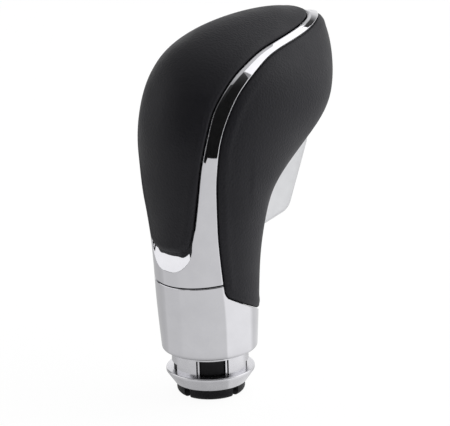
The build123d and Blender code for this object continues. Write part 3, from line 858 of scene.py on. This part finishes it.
def boot_collar():
    """The collar: a barbed flange and a neck ring, both turned on the axis, joined by walls between the two
    windows, with a low slot in the middle of each wall and a slim post beside each window."""
    turns = np.linspace(0, 2 * math.pi, COLLAR_COLUMNS)
    flange = rounded([(COLLAR_BORE, COLLAR_LOW), (FOOT_RADIUS, COLLAR_LOW), (RIM_RADIUS, RIM_LOW),
                      (RIM_RADIUS, RIM_HIGH), (COLLAR_BORE, RIM_HIGH)],
                     [0, FOOT_ROUND, RIM_ROUND, RIM_ROUND, 0])
    ring = rounded(upright(COLLAR_BORE, NECK_RADIUS, WINDOW_HIGH, COLLAR_HIGH), [0, NECK_ROUND, 0, 0])
    low, high = WINDOW_LOW - WALL_SINK, WINDOW_HIGH + WALL_RISE
    wall = upright(COLLAR_BORE, NECK_RADIUS, low, high)
    over_slot = upright(COLLAR_BORE, NECK_RADIUS, SLOT_HIGH, high)
    post = upright(COLLAR_BORE, POST_RADIUS, low, high)
    half_slot = math.asin(SIDE_SLOT_WIDTH / 2 / NECK_RADIUS)
    reach = math.pi / 2 - math.asin(WINDOW_WIDTH / 2 / NECK_RADIUS)
    grids = [lathe(closed(flange), turns), lathe(closed(ring), turns)]
    for middle in map(math.radians, SIDE_SLOT_ANGLES):
        grids += block(over_slot, middle - half_slot, middle + half_slot, count=40)
        for hand in (-1, 1):
            grids += block(wall, middle + hand * half_slot, middle + hand * reach, count=30)
            near = middle + hand * (reach + POST_GAP / POST_RADIUS)
            grids += block(post, near, near + hand * POST_WIDTH / POST_RADIUS, count=6)
    return grids


def button_cap():
    """The button: its side view, with rounded corners, carried across its width. Towards each side the
    outline is drawn in by a quarter circle, and the side itself is crowned as one less the square of the way
    to its middle."""
    outline = closed(rounded(BUTTON_SIDE, BUTTON_ROUNDS, steps=14))
    travel = np.roll(outline[:-1], -1, axis=0) - np.roll(outline[:-1], 1, axis=0)
    inward = closed(unit(np.stack([-travel[:, 1], travel[:, 0]], -1)))
    angle = np.linspace(0, math.pi / 2, BUTTON_EDGE_STEPS)
    across = BUTTON_HALF_WIDTH - BUTTON_EDGE + BUTTON_EDGE * np.sin(angle)
    drawn_in = BUTTON_EDGE * (1 - np.cos(angle))
    across = np.concatenate([-across[::-1], across])
    drawn_in = np.concatenate([drawn_in[::-1], drawn_in])
    side = outline[:, None] + inward[:, None] * drawn_in[None, :, None]
    wall = np.stack([side[..., 0], across[None] + 0 * side[..., 0], side[..., 1]], -1)
    share = np.linspace(1, 0, BUTTON_CAP_STEPS)[None]
    caps = []
    for column, hand in ((0, -1), (-1, 1)):
        rim = wall[:, column]
        middle = rim[:-1].mean(axis=0)
        cap = middle + (rim - middle)[:, None] * share[..., None]
        cap[..., 1] += hand * BUTTON_CROWN * (1 - share**2)
        caps.append(cap)
    return [wall] + caps


def lever_socket():
    """The socket: four fingers between slots at the foot, a stepped bore turned on the axis above them, two
    tabs in the collar's windows and two catches in its side slots."""
    finger = rounded(upright(LEVER_RADIUS, SOCKET_RADIUS, 0, SLOT_HEIGHT),
                     [SOCKET_BORE_ROUND, SOCKET_FOOT_ROUND, 0, 0], steps=8)
    column = np.array([(LEVER_RADIUS, SLOT_HEIGHT), (SOCKET_RADIUS, SLOT_HEIGHT)] + SOCKET_STEPS)
    tab = upright(TAB_ROOT, TAB_RADIUS, WINDOW_LOW + TAB_GAP, WINDOW_HIGH - TAB_GAP)
    catch = upright(TAB_ROOT, CATCH_RADIUS, WINDOW_LOW + CATCH_GAP, SLOT_HIGH - CATCH_GAP)
    tab_reach = (WINDOW_WIDTH / 2 - TAB_MARGIN) / TAB_RADIUS
    catch_reach = (SIDE_SLOT_WIDTH / 2 - CATCH_GAP) / NECK_RADIUS
    slot = SLOT_WIDTH / 2 / SOCKET_RADIUS
    grids = [lathe(closed(column), np.linspace(0, 2 * math.pi, SOCKET_COLUMNS))]
    for quarter in range(4):
        start = quarter * math.pi / 2
        grids += block(finger, start + slot, start + math.pi / 2 - slot, count=40)
    for middle in map(math.radians, WINDOW_ANGLES):
        grids += block(tab, middle - tab_reach, middle + tab_reach, count=16)
    for middle in map(math.radians, SIDE_SLOT_ANGLES):
        grids += block(catch, middle - catch_reach, middle + catch_reach, count=24)
    return grids


def return_spring():
    """The spring: a ring of points round a helix, spanned by the direction away from the axis and the one
    square to it and to the wire, and closed at both ends."""
    turn = np.linspace(0, 2 * math.pi * SPRING_TURNS, SPRING_STEPS * SPRING_TURNS + 1)
    level = np.linspace(SPRING_LOW, SPRING_HIGH, len(turn))
    away = np.stack([np.cos(turn), np.sin(turn), 0 * turn], -1)
    slope = (SPRING_HIGH - SPRING_LOW) / (2 * math.pi * SPRING_TURNS)
    wire = np.stack([-SPRING_RADIUS * np.sin(turn), SPRING_RADIUS * np.cos(turn), slope + 0 * turn], -1)
    square = np.cross(unit(wire), away)
    centre = away * SPRING_RADIUS + np.stack([0 * level, 0 * level, level], -1)
    round_ = np.linspace(0, 2 * math.pi, WIRE_STEPS)[None, :, None]
    ring = away[:, None] * np.cos(round_) + square[:, None] * np.sin(round_)
    tube = centre[:, None] + SPRING_WIRE * ring
    ends = [np.repeat(centre[[k], None], tube.shape[1], axis=1) for k in (0, -1)]
    return np.concatenate([ends[0], tube, ends[1]])


# Pieces
pad = make_piece("rear_pad", both_sides(*rear_pad()), leather, "knob", ["rear_pad_leather"], SOFT_SHARP)
grip = make_piece("front_grip", both_sides(*front_grip()), leather, "knob", ["front_grip_leather"],
                  SOFT_SHARP)

bright = make_piece("chrome_band", both_sides(*chrome_frame()), chrome, "knob", ["chrome_frame"], HARD_SHARP)
sleeve = make_piece("neck_sleeve", both_sides(lower_sleeve()), sleeve_chrome, "knob", ["lower_sleeve"],
                    HARD_SHARP)
collar = make_piece("boot_ring", boot_collar(), collar_satin, "knob", ["boot_collar"], HARD_SHARP)
bush = make_piece("lever_bush", lever_socket(), black_plastic, "knob", ["lever_socket"], HARD_SHARP)
button = make_piece("release_button", button_cap(), lacquer, "button", ["button_cap"], HARD_SHARP)
spring = make_piece("plunger_spring", [return_spring()], steel, "knob", ["return_spring"], SOFT_SHARP)
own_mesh(spring)

# Finishes of the nodes that show as they are; the fasteners and the plunger are steel
finishes = {
    "rear_pad_carrier": black_plastic, "front_grip_carrier": black_plastic, "core_left": grey_plastic,
    "core_right": grey_plastic, "button_slider": grey_plastic,
}
for name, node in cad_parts.items():
    node.data.materials.clear()
    node.data.materials.append(finishes.get(name, steel))

# Studio: a white floor, a large soft box at the right and a small one at the left, cards and a dim sky
scene.view_settings.view_transform = "Standard"
PHOTO_BEARING = 225
FLOOR_REACH = 6.0
PAPER_GREY = 0.93
PAPER_WHITE = 1.05
PAPER_GLOW = 0.9

# Painted light and shade on the paper as the chrome mirrors it: its brightness by the direction round the
# knob in degrees, glowing brightest towards the large soft box
PAINTED_PAPER_LIGHT = [
    (-180, 0.55), (-118, 0.7), (-106, 0.78), (-101, 0.9), (-63, 0.9), (-57, 0.94), (34, 0.99), (37, 1.37),
    (100, 1.37), (114, 0.98), (165, 0.9), (180, 0.52),
]
PAPER_MOST = 1.5

# Painted shadow on the paper as the chrome mirrors it close to the foot, by the distance from the axis
PAINTED_FOOT_SHADOW = [(0.0, 0.68), (0.022, 0.72), (0.05, 1.0), (1.0, 1.0)]

# Grey of the black cards by height, and glow of the card at the far end of the large soft box by its place
# along Y, moved by CARD_SHIFT
CARD_GREY = [(0.0, 0.018), (0.3, 0.02), (0.5, 0.07)]
CARD_FADE = [(0.078, 0.045), (0.125, 0.085), (0.16, 0.5), (0.2, 0.95)]
CARD_SHIFT = 0.1

# Light of the sky by height, and how much of it is left from behind the knob to above its left front
SKY_LIGHT = [(0.0, 1.0), (0.13, 1.0), (0.3, 0.8), (0.5, 0.42), (0.75, 0.4), (0.87, 0.85), (1.0, 1.0)]
SKY_DIM = [(0.3, 0.62), (0.38, 0.8), (0.45, 0.9), (0.55, 0.62), (0.7, 0.47), (0.95, 0.33)]
SKY_DIM_TURN = -40
SKY_DIM_OUT = 0.64
SKY_DIM_UP = 0.77
SKY_MOST = 2.1

# Share of plain white in the strip above the horizon
SKY_HORIZON = [(0.13, 1.0), (0.22, 0.0)]


def floor_material():
    """White paper that shows as white to the camera and through glass, with a share of its own shading for
    the shadow.
    In mirrors it glows with painted light and shade instead: brighter on the side of the large soft box,
    dimmer beside it, and with a painted shadow under the knob."""
    material, tree, shader, place = new_material("studio_floor")
    tree.nodes.remove(shader)
    parts = parts_of(tree, place)
    ahead = arithmetic(tree, "MULTIPLY", arithmetic(tree, "ADD", parts["X"], parts["Y"]), -1.0)
    aside = arithmetic(tree, "SUBTRACT", parts["X"], parts["Y"])
    angle = arithmetic(tree, "ARCTAN2", aside, ahead)
    turn = arithmetic(tree, "MULTIPLY_ADD", angle, 1 / (2 * math.pi), 0.5)
    # Painted light and shade, seen only in mirrors: the paper glows brighter towards the large soft box and
    # dimmer beside it
    stops = [((degrees + 180) / 360, level / PAPER_MOST) for degrees, level in PAINTED_PAPER_LIGHT]
    # Painted shadow on the mirrored paper near the foot, by the distance from the axis
    reach = add_node(tree, "VectorMath", {0: place}, "LENGTH").outputs["Value"]
    painted_light = arithmetic(tree, "MULTIPLY", grey_ramp(tree, turn, stops), grey_ramp(tree, reach, PAINTED_FOOT_SHADOW))
    painted_reflection = arithmetic(tree, "MULTIPLY", painted_light, PAPER_MOST)
    path = tree.nodes.new("ShaderNodeLightPath").outputs
    change = arithmetic(tree, "MULTIPLY", arithmetic(tree, "SUBTRACT", painted_reflection, PAPER_WHITE),
                        path["Is Glossy Ray"])
    white = add_node(tree, "Emission", {"Strength": arithmetic(tree, "ADD", change, PAPER_WHITE)})
    paper = add_node(tree, "BsdfDiffuse", {"Color": (PAPER_GREY, PAPER_GREY, PAPER_GREY, 1)})
    seen = path["Is Camera Ray"]
    for kind in ("Is Glossy Ray", "Is Transmission Ray"):
        seen = arithmetic(tree, "MAXIMUM", seen, path[kind])
    glow = arithmetic(tree, "MULTIPLY", seen, PAPER_GLOW)
    blend = add_node(tree, "MixShader", {"Fac": glow, 1: paper.outputs["BSDF"], 2: white.outputs["Emission"]})
    fill(tree, tree.nodes["Material Output"], {"Surface": blend.outputs["Shader"]})
    return material


def card_paper():
    """Matt black paper that fades to dark grey towards the top of the card."""
    material, tree, shader, place = new_material("card_paper")
    grey = grey_ramp(tree, parts_of(tree, place)["Z"], CARD_GREY)
    fill(tree, shader, {"Base Color": grey, "Roughness": 1.0, "Specular IOR Level": 0.0})
    return material


def fading_card():
    """A card that glows more and more towards its far end."""
    material, tree, shader, place = new_material("fading_card")
    along = arithmetic(tree, "ADD", parts_of(tree, place)["Y"], CARD_SHIFT)
    fill(tree, shader, {
        "Base Color": (0, 0, 0, 1),
        "Specular IOR Level": 0.0,
        "Emission Color": (1, 1, 1, 1),
        "Emission Strength": grey_ramp(tree, along, CARD_FADE),
    })
    return material


def studio_place(turn, distance, level):
    """A place in the studio, at a turn in degrees to the right of the photograph's side of the knob."""
    bearing = math.radians(PHOTO_BEARING + turn)
    return Vector((distance * math.cos(bearing), distance * math.sin(bearing), level))


def stage_sheet(name, corners, material):
    """A flat four-sided sheet of the studio."""
    mesh = bpy.data.meshes.new(name)
    mesh.from_pydata(corners, [], [(0, 1, 2, 3)])
    mesh.materials.append(material)
    sheet = bpy.data.objects.new(name, mesh)
    scene.collection.objects.link(sheet)
    return sheet


def upright_card(name, material, turn, distance, half_width, low, high):
    """A sheet that stands square to the direction of the knob and that the camera does not see."""
    sideways = studio_place(turn + 90, half_width, 0)
    corners = [studio_place(turn, distance, level) + hand * sideways
               for hand, level in ((-1, low), (1, low), (1, high), (-1, high))]
    card = stage_sheet(name, corners, material)
    card.visible_camera = False
    return card


def studio_world():
    """The sky: its light by height, dimmed by the direction, with a white strip above the horizon."""
    world = bpy.data.worlds.new("studio")
    world.use_nodes = True
    tree = world.node_tree
    direction = tree.nodes.new("ShaderNodeTexCoord").outputs["Generated"]
    height = parts_of(tree, direction)["Z"]
    dimmest = studio_place(SKY_DIM_TURN, SKY_DIM_OUT, SKY_DIM_UP)
    facing = add_node(tree, "VectorMath", {0: direction, 1: dimmest}, "DOT_PRODUCT").outputs["Value"]
    toward = arithmetic(tree, "MULTIPLY_ADD", facing, 0.5, 0.5)
    left = arithmetic(tree, "MULTIPLY", grey_ramp(tree, toward, SKY_DIM), SKY_MOST)
    taken = arithmetic(tree, "SUBTRACT", 1.0, left)
    lifted = arithmetic(tree, "MULTIPLY", grey_ramp(tree, height, SKY_HORIZON), taken)
    fill(tree, tree.nodes["Background"], {
        "Color": grey_ramp(tree, height, SKY_LIGHT),
        "Strength": arithmetic(tree, "ADD", left, lifted),
    })
    return world


def soft_box(name, place, target, width, height, radiance):
    """A rectangular lamp that faces a target; its power is radiance times area times pi."""
    lamp = bpy.data.lights.new(name, "AREA")
    lamp.shape = "RECTANGLE"
    lamp.size = width
    lamp.size_y = height
    lamp.energy = radiance * width * height * math.pi
    box = bpy.data.objects.new(name, lamp)
    look = Vector(target) - Vector(place)
    box.matrix_world = Matrix.Translation(place) @ look.to_track_quat("-Z", "Y").to_matrix().to_4x4()
    scene.collection.objects.link(box)
    return box


corners = [(x * FLOOR_REACH, y * FLOOR_REACH, 0) for x, y in ((-1, -1), (1, -1), (1, 1), (-1, 1))]
stage_sheet("studio_floor", corners, floor_material())

# Cards: in front for the band's dark stretch, on the left to keep the rear pad deep, and before the far end
# of the large soft box, where only the chrome sees it
black_card = card_paper()
upright_card("card_front", black_card, turn=12, distance=0.37, half_width=0.4, low=0.002, high=0.56)
upright_card("card_left", black_card, turn=-95, distance=0.64, half_width=0.7, low=0.002, high=0.62)
far_card = upright_card("card_right", fading_card(), turn=144.75, distance=0.355, half_width=0.0836,
                        low=0.165, high=0.33)
far_card.visible_diffuse = False
far_card.visible_shadow = False

scene.world = studio_world()
soft_box("large_right", studio_place(turn=105, distance=0.5, level=0.465), target=(0.01, -0.01, 0.1),
         width=0.81, height=0.45, radiance=1.23)
small_left = soft_box("small_left", studio_place(turn=-92, distance=0.56, level=0.235),
                      target=(-0.02, 0, 0.05), width=0.66, height=0.44, radiance=1.42)
small_left.visible_diffuse = False

# Camera: measured from the photograph, in pixels, degrees and metres
IMAGE_WIDTH = 450
IMAGE_HEIGHT = 426
FOCAL_PIXELS = 1881.14
PRINCIPAL = (205.75, 219.53)
SENSOR = 36.0
ELEVATION = 15.787
ROLL = -1.886
DISTANCE = 0.6
TARGET_HEIGHT = 0.0575
CLIP_START = 0.01


def photo_camera():
    """The camera: it stands back from the target on the photograph's side, by the elevation, and turns about
    its view by the roll; the shift puts the principal point where the photograph has it."""
    elevation, turn = math.radians(ELEVATION), math.radians(ROLL)
    back = studio_place(0, math.cos(elevation), math.sin(elevation))
    right = studio_place(90, 1, 0)
    upward = back.cross(right)
    axis_x = right * math.cos(turn) + upward * math.sin(turn)
    axis_y = upward * math.cos(turn) - right * math.sin(turn)
    lens = bpy.data.cameras.new("camera")
    lens.sensor_width = SENSOR
    lens.lens = FOCAL_PIXELS / IMAGE_WIDTH * SENSOR
    lens.shift_x = (IMAGE_WIDTH / 2 - PRINCIPAL[0]) / IMAGE_WIDTH
    lens.shift_y = (PRINCIPAL[1] - IMAGE_HEIGHT / 2) / IMAGE_WIDTH
    lens.clip_start = CLIP_START
    camera = bpy.data.objects.new("camera", lens)
    place = Matrix.Translation(Vector((0, 0, TARGET_HEIGHT)) + back * DISTANCE)
    camera.matrix_world = place @ Matrix((axis_x, axis_y, back)).transposed().to_4x4()
    scene.collection.objects.link(camera)
    return camera


scene.camera = photo_camera()
